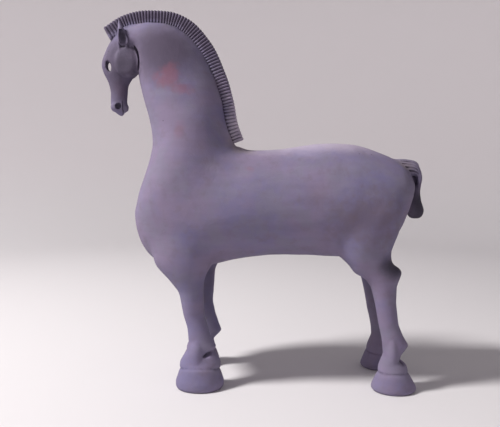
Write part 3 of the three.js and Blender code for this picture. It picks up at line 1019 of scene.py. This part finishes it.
# %% A soft patch, as a node group
tree, group_in, group_out = new_group(
    "soft_patch",
    {
        "Point": "NodeSocketVector",
        "Middle": "NodeSocketVector",
        "Reach": "NodeSocketVector",
        "Ragged": "NodeSocketFloat",
    },
    {"Mask": "NodeSocketFloat"},
)
away = add(
    tree,
    "ShaderNodeVectorMath",
    {0: group_in.outputs["Point"], 1: group_in.outputs["Middle"]},
    operation="SUBTRACT",
)
away = add(tree, "ShaderNodeVectorMath", {0: away.outputs[0], 1: group_in.outputs["Reach"]}, operation="DIVIDE")
away = add(tree, "ShaderNodeVectorMath", {0: away.outputs[0]}, operation="LENGTH")
ragged = add(
    tree,
    "ShaderNodeTexNoise",
    {"Vector": group_in.outputs["Point"]},
    {"Scale": 60.0, "Detail": 4.0, "Roughness": 0.65},
)
ragged = math_node(tree, "SUBTRACT", ragged.outputs["Fac"], 0.5)
ragged = math_node(tree, "MULTIPLY", ragged, group_in.outputs["Ragged"])
away = math_node(tree, "ADD", away.outputs["Value"], ragged)
mask = soft_step(tree, math_node(tree, "SUBTRACT", 1.0, away), 0.0, 0.75)
tree.links.new(mask, group_out.inputs["Mask"])
soft_patch = tree
print(tree.name, "has", len(tree.nodes), "nodes")

# %% Grain and pits, as a node group
tree, group_in, group_out = new_group(
    "clay_grain",
    {"Point": "NodeSocketVector"},
    {"Normal": "NodeSocketVector", "Pits": "NodeSocketFloat"},
)
point = group_in.outputs["Point"]
fine = add(tree, "ShaderNodeTexNoise", {"Vector": point}, {"Scale": 620.0, "Detail": 3.0, "Roughness": 0.6})
coarse = add(tree, "ShaderNodeTexNoise", {"Vector": point}, {"Scale": 150.0, "Detail": 3.0, "Roughness": 0.55})
cells = add(tree, "ShaderNodeTexVoronoi", {"Vector": point}, {"Scale": 70.0})
chance = add(tree, "ShaderNodeSeparateColor", {"Color": cells.outputs["Color"]})
rare = math_node(tree, "GREATER_THAN", chance.outputs["Red"], 0.9)
dot = math_node(tree, "SUBTRACT", 1.0, soft_step(tree, cells.outputs["Distance"], 0.03, 0.07))
pits = math_node(tree, "MULTIPLY", rare, dot)
height = math_node(tree, "ADD", fine.outputs["Fac"], math_node(tree, "MULTIPLY", coarse.outputs["Fac"], 1.6))
height = math_node(tree, "SUBTRACT", height, pits)
bump = add(tree, "ShaderNodeBump", {"Height": height}, {"Strength": 0.32, "Distance": 0.6 * MM})
tree.links.new(bump.outputs["Normal"], group_out.inputs["Normal"])
tree.links.new(pits, group_out.inputs["Pits"])
clay_grain = tree
print(tree.name, "has", len(tree.nodes), "nodes")

# %% The clay material
ROSE = (0.235, 0.084, 0.122, 1)
UMBER = (0.135, 0.098, 0.120, 1)
OLIVE = (0.215, 0.180, 0.175, 1)
SMOKE = (0.078, 0.061, 0.100, 1)
INK = (0.030, 0.026, 0.042, 1)
WORN = (0.330, 0.285, 0.380, 1)
# a pale tint, mixed in as painted highlight
PAINTED_HIGHLIGHT = (0.470, 0.410, 0.500, 1)
PATCHES = [
    ("blush_low", (-96, 45, 304), (9, 30, 14), ROSE, 0.2),
    ("shoulder_spot", (-12, 54, 260), (9, 24, 6), ROSE, 0.35),
    ("nose_bridge", (-172, 8, 356), (9, 14, 14), ROSE, 0.2),
    ("haunch", (118, 56, 205), (62, 40, 44), UMBER, 0.5),
    ("flank", (60, 58, 224), (30, 30, 16), UMBER, 0.3),
    # painted shadow: darkens each hock as if the body's shadow fell on it
    ("hock", (152, 44, 146), (28, 28, 20), INK, 0.85),
    ("withers", (-26, 16, 284), (28, 30, 14), OLIVE, 0.5),
    # painted highlight: lightens the top of the back, where the light falls from above
    ("back", (62, 0, 300), (140, 60, 40), PAINTED_HIGHLIGHT, 0.7),
    # painted highlight: lightens the lower mane, where its ridges catch the light
    ("mane_low_highlight", (-28, 0, 322), (26, 15, 58), PAINTED_HIGHLIGHT, 0.9),
    ("neck_top", (-116, 28, 398), (62, 64, 54), SMOKE, 1.0),
    ("blush", (-109, 34, 368), (21, 40, 20), ROSE, 0.5),
    ("blush_end", (-92, 36, 352), (15, 40, 11), ROSE, 0.45),
    # painted shade: darkens the inner sides of the legs, between the legs and under the body
    ("inner_fore_shade", (-80, 22, 110), (36, 19, 66), INK, 0.4),
    ("inner_hind_shade", (138, 22, 96), (40, 19, 84), INK, 0.4),
    ("tail_root", (166, 6, 262), (22, 20, 12), OLIVE, 0.5),
    ("head", (-174, 0, 374), (42, 34, 70), SMOKE, 0.85),
    # painted shade: darkens the cheek disc, which is turned away from the light
    ("cheek", (-162, 14, 386), (24, 12, 30), INK, 0.4),
    # painted shade: darkens the eye socket and the hole through the head
    ("eye", (-185.7, 7, 383.2), (5, 5, 10), INK, 0.6),
    # painted shade: darkens the hollow of each ear
    ("ear_cup_shade", (-166, 15, 415), (8, 6, 11), INK, 0.85),
    # painted shade: darkens the nostril holes
    ("nostril", (-174.6, 7.5, 335.6), (5.5, 5, 5.5), INK, 0.7),
    # painted shade: darkens the tail's club, which is turned from the light in the body's shade
    ("tail", (191, 0, 212), (22, 30, 48), INK, 0.92),
]
EVEN = ("back", "neck_top", "head", "inner_fore_shade", "inner_hind_shade", "hock", "tail")
EVEN_EDGE, RAGGED_EDGE = 0.35, 1.5
WORN_SHARE, MANE_SHARE, CAVITY_SHADE_SHARE, PIT_SHARE = 0.3, 0.85, 0.8, 0.7
CLAY_ROUGHNESS, CLAY_SPECULAR = 0.84, 0.35
SMOOTH_ANGLE = 40
clay = bpy.data.materials.new("slate_violet_clay")
clay.use_nodes = True
tree = clay.node_tree
skin = tree.nodes["Principled BSDF"]
place = add(tree, "ShaderNodeTexCoord").outputs["Object"]
split = add(tree, "ShaderNodeSeparateXYZ", {0: place})
mirrored = add(
    tree,
    "ShaderNodeCombineXYZ",
    {0: split.outputs[0], 1: math_node(tree, "ABSOLUTE", split.outputs[1]), 2: split.outputs[2]},
).outputs[0]
colour = add(tree, "ShaderNodeGroup", node_tree=mottled_slate)
tree.links.new(place, colour.inputs["Point"])
worn = add(tree, "ShaderNodeAttribute", attribute_name="worn").outputs["Fac"]
colour = mix(tree, math_node(tree, "MULTIPLY", worn, WORN_SHARE), colour.outputs["Colour"], WORN)
for name, middle, reach, tint, share in PATCHES:
    patch = add(tree, "ShaderNodeGroup", node_tree=soft_patch, name=name, label=name)
    tree.links.new(mirrored, patch.inputs["Point"])
    patch.inputs["Middle"].default_value = Vector(middle) * MM
    patch.inputs["Reach"].default_value = Vector(reach) * MM
    patch.inputs["Ragged"].default_value = EVEN_EDGE if name in EVEN else RAGGED_EDGE
    colour = mix(tree, math_node(tree, "MULTIPLY", patch.outputs["Mask"], share), colour, tint)
mane_mask = add(tree, "ShaderNodeAttribute", attribute_name="mane").outputs["Fac"]
colour = mix(tree, math_node(tree, "MULTIPLY", mane_mask, MANE_SHARE), colour, SMOKE)
# painted shade: grooves and hollows are darkened by the cavity attribute
cavity = add(tree, "ShaderNodeAttribute", attribute_name="cavity").outputs["Fac"]
colour = mix(tree, math_node(tree, "MULTIPLY", cavity, CAVITY_SHADE_SHARE), colour, INK)
grain = add(tree, "ShaderNodeGroup", node_tree=clay_grain)
tree.links.new(place, grain.inputs["Point"])
colour = mix(tree, math_node(tree, "MULTIPLY", grain.outputs["Pits"], PIT_SHARE), colour, INK)
tree.links.new(colour, skin.inputs["Base Color"])
tree.links.new(grain.outputs["Normal"], skin.inputs["Normal"])
skin.inputs["Roughness"].default_value = CLAY_ROUGHNESS
skin.inputs["Specular IOR Level"].default_value = CLAY_SPECULAR
horse.data.materials.clear()
horse.data.materials.append(clay)
horse.data.polygons.foreach_set("material_index", [0] * len(horse.data.polygons))
alone(horse)
bpy.ops.object.shade_smooth_by_angle(angle=math.radians(SMOOTH_ANGLE))
print("clay:", len(tree.nodes), "nodes")

# %% The floor's material
FLOOR_COLOUR = (0.66, 0.645, 0.66, 1)
WALL_COLOUR = (0.66, 0.63, 0.65, 1)
WALL_FULL = 0.35
FLOOR_ROUGHNESS = 0.8
paper = bpy.data.materials.new("pale_floor")
paper.use_nodes = True
tree = paper.node_tree
height = add(tree, "ShaderNodeSeparateXYZ", {0: add(tree, "ShaderNodeTexCoord").outputs["Object"]}).outputs[2]
colour = mix(tree, soft_step(tree, height, 0.0, WALL_FULL), FLOOR_COLOUR, WALL_COLOUR)
tree.links.new(colour, tree.nodes["Principled BSDF"].inputs["Base Color"])
tree.nodes["Principled BSDF"].inputs["Roughness"].default_value = FLOOR_ROUGHNESS
floor.data.materials.append(paper)
print("floor:", FLOOR_COLOUR[:3], "wall:", WALL_COLOUR[:3])

# %% [markdown]
# ## Light
# One soft lamp, high on the left in front, models the forms and throws a shadow to the right and behind. A pale
# sky fills the shadows from above, and the floor throws some light back up on the belly.

# %% Light
KEY_PLACE = Vector((-1.27, -0.45, 1.76))
KEY_AIM = Vector((0, 0, 0.22))
KEY_SIZE = 0.34
KEY_POWER = 58
KEY_COLOUR = (1.0, 0.97, 0.95)
SKY_COLOUR = (0.80, 0.79, 0.84, 1)
SKY_STRENGTH = 0.2
alone(horse)
bpy.ops.object.light_add(type="AREA", location=KEY_PLACE)
key = bpy.context.object
key.data.shape = "DISK"
key.data.size = KEY_SIZE
key.data.energy = KEY_POWER
key.data.color = KEY_COLOUR
key.rotation_euler = (KEY_AIM - KEY_PLACE).to_track_quat("-Z", "Y").to_euler()
sky = bpy.data.worlds.new("pale_sky")
bpy.context.scene.world = sky
sky.use_nodes = True
background = sky.node_tree.nodes["Background"]
background.inputs["Color"].default_value = SKY_COLOUR
background.inputs["Strength"].default_value = SKY_STRENGTH
bpy.context.scene.view_settings.view_transform = "Standard"
print("lamp at", [round(v, 2) for v in KEY_PLACE], "m")

# %% [markdown]
# ## Hand over
# The crest curve was only a tool and goes. The horse rides on the frame's one body and stands for its node.

# %% Finish
bpy.data.objects.remove(crest)
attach(horse, "root")
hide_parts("horse")
